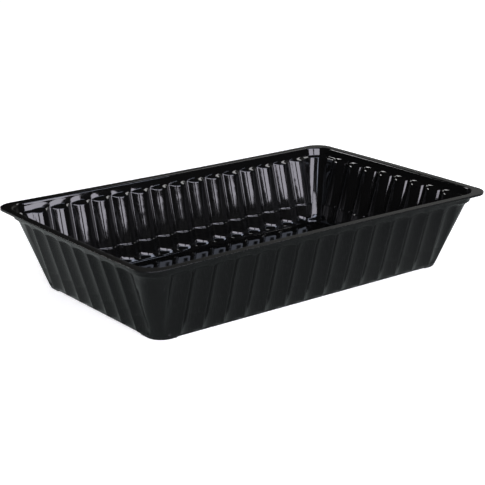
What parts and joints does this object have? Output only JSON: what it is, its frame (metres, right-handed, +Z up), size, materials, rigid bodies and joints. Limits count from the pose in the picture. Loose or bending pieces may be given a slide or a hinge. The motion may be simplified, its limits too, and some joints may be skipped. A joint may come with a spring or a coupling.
{
  "type": "plastic food tray",
  "caption": "Open rectangular black plastic food tray with fluted sloping walls, plain rounded corners, a flat base and a thin flat flange round the rim.",
  "frame": {"origin": "middle of the base, on the face that the tray stands on", "axes": "+X along the tray's length, +Y across its width, +Z up out of its open top"},
  "size_m": [0.2282, 0.1422, 0.043],
  "materials": {
    "tray_plastic": "black, glossy inside the tray and satin outside"
  },
  "bodies": {
    "root": {"tray": "tray_plastic"}
  },
  "joints": []
}
